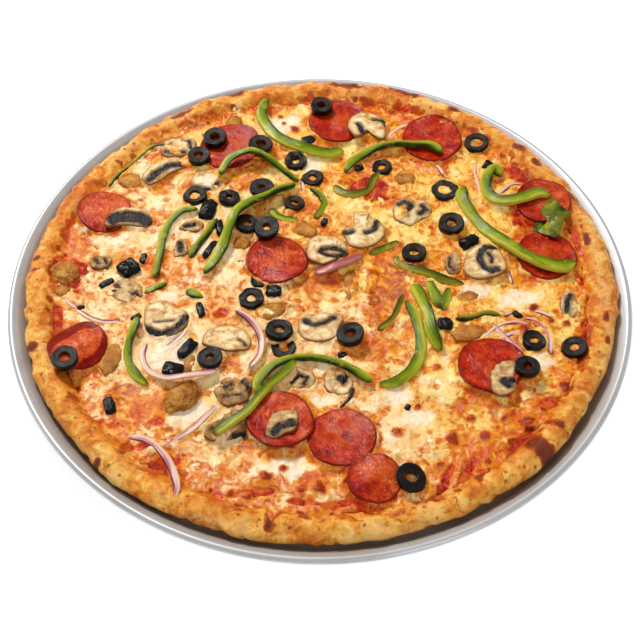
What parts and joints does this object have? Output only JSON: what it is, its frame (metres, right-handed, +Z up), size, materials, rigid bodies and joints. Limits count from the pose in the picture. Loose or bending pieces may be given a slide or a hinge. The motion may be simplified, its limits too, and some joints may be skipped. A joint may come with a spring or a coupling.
{
  "type": "supreme pizza on a round pan",
  "caption": "Large round baked pizza with a raised crust and mixed toppings, uncut, on a shallow round metal pan.",
  "frame": {"origin": "centre of the pan's flat underside, on the table", "axes": "+Z up; +X to the right and +Y away from the viewer as the picture shows it"},
  "size_m": [0.406, 0.406, 0.0326],
  "materials": {
    "pan_metal": "spun aluminium, satin, with fine turned lines",
    "crust": "baked bread crust, golden with browner patches and a floury side",
    "sauce": "cooked tomato sauce, moist",
    "cheese": "melted cheese, cream to orange, browned in spots and a little oily",
    "pepperoni": "cured sausage slice, red, mottled and oily",
    "olive": "black olive, moist skin and duller cut faces",
    "green_pepper": "roast green pepper, green skin and yellow-green flesh",
    "red_onion": "soft red onion, pale flesh with a magenta edge",
    "mushroom": "roast mushroom slice, cream with dark gills",
    "sausage": "browned minced sausage, granular"
  },
  "bodies": {
    "root": {"cheese": "cheese", "crust": "crust", "mushroom_back": "mushroom", "mushroom_dark_gills": "mushroom", "mushroom_left_back": "mushroom", "mushroom_middle": "mushroom", "mushroom_middle_front": "mushroom", "mushroom_onion": "mushroom", "mushroom_pale": "mushroom", "mushroom_right": "mushroom", "mushroom_stem_up": "mushroom", "olive_back": "olive", "olive_back_left": "olive", "olive_back_right": "olive", "olive_front": "olive", "olive_left": "olive", "olive_left_back": "olive", "olive_loop_left": "olive", "olive_middle": "olive", "olive_middle_back": "olive", "olive_middle_front": "olive", "olive_middle_right": "olive", "olive_onion": "olive", "olive_pepper_back": "olive", "olive_right": "olive", "olive_right_back": "olive", "olive_right_front": "olive", "olive_right_middle": "olive", "onion_arc": "red_onion", "onion_flat": "red_onion", "onion_front_left": "red_onion", "onion_ring_left": "red_onion", "pan": "pan_metal", "pepper_arch": "green_pepper", "pepper_back": "green_pepper", "pepper_back_right": "green_pepper", "pepper_bunch": "green_pepper", "pepper_left": "green_pepper", "pepper_left_front": "green_pepper", "pepper_loop": "green_pepper", "pepper_right_hook": "green_pepper", "pepper_right_long": "green_pepper", "pepper_slant": "green_pepper", "pepper_wave": "green_pepper", "pepper_wave_right": "green_pepper", "pepperoni_back": "pepperoni", "pepperoni_back_left": "pepperoni", "pepperoni_back_right": "pepperoni", "pepperoni_front": "pepperoni", "pepperoni_front_edge": "pepperoni", "pepperoni_front_left": "pepperoni", "pepperoni_left": "pepperoni", "pepperoni_left_back": "pepperoni", "pepperoni_middle": "pepperoni", "pepperoni_right": "pepperoni", "pepperoni_right_back": "pepperoni", "pepperoni_right_front": "pepperoni", "sauce": "sauce", "sausage_front_left": "sausage", "sausage_left": "sausage"}
  },
  "joints": []
}
